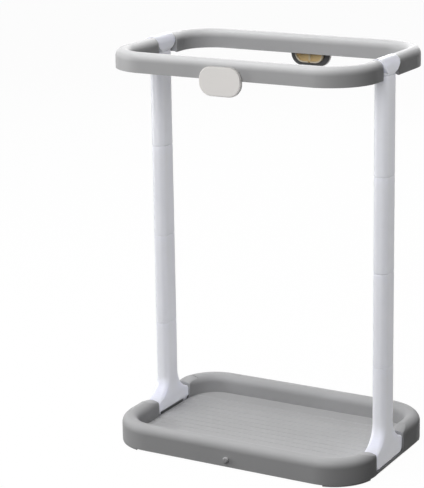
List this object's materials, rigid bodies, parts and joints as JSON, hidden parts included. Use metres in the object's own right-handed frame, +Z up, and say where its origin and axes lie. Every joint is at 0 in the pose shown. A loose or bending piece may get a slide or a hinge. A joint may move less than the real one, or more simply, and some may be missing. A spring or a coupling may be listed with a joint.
{
  "type": "bin bag holder",
  "caption": "Free-standing bin bag holder with a grooved drip tray, two plug-together posts and an oblong ring whose hinged oval catches clamp the bag's rim",
  "frame": {"origin": "on the ground under the middle of the stand", "axes": "X runs along the stand's long side from the left post to the right post, Y to the back and Z up"},
  "size_m": [0.4, 0.2786, 0.5785],
  "materials": {
    "tray_plastic": "satin grey moulded plastic",
    "ring_plastic": "satin light grey moulded plastic",
    "post_plastic": "smooth white moulded plastic",
    "cap_plastic": "light warm grey satin plastic",
    "catch_plastic": "charcoal moulded plastic",
    "pad_rubber": "beige soft rubber",
    "pin_steel": "plain drawn wire"
  },
  "bodies": {
    "stand": {"base_tray": "tray_plastic", "foot_left": "post_plastic", "foot_right": "post_plastic", "lower_tube_left": "post_plastic", "lower_tube_right": "post_plastic", "middle_tube_left": "post_plastic", "middle_tube_right": "post_plastic", "upper_tube_left": "post_plastic", "upper_tube_right": "post_plastic", "head_left": "post_plastic", "head_right": "post_plastic", "ring_front": "ring_plastic", "ring_rear": "ring_plastic", "catch_pin_front": "pin_steel", "catch_pin_rear": "pin_steel"},
    "catch_front": {"catch_cap_front": "cap_plastic", "catch_back_front": "catch_plastic", "catch_pad_front": "pad_rubber"},
    "catch_rear": {"catch_cap_rear": "cap_plastic", "catch_back_rear": "catch_plastic", "catch_pad_rear": "pad_rubber"}
  },
  "joints": [
    {"name": "catch_front_hinge", "type": "hinge", "parent": "stand", "child": "catch_front", "pos_m": [0, -0.1342, 0.5643], "axis": [-1, 0, 0], "range_deg": [0, 30]},
    {"name": "catch_rear_hinge", "type": "hinge", "parent": "stand", "child": "catch_rear", "pos_m": [0, 0.1342, 0.5643], "axis": [1, 0, 0], "range_deg": [0, 30]}
  ]
}
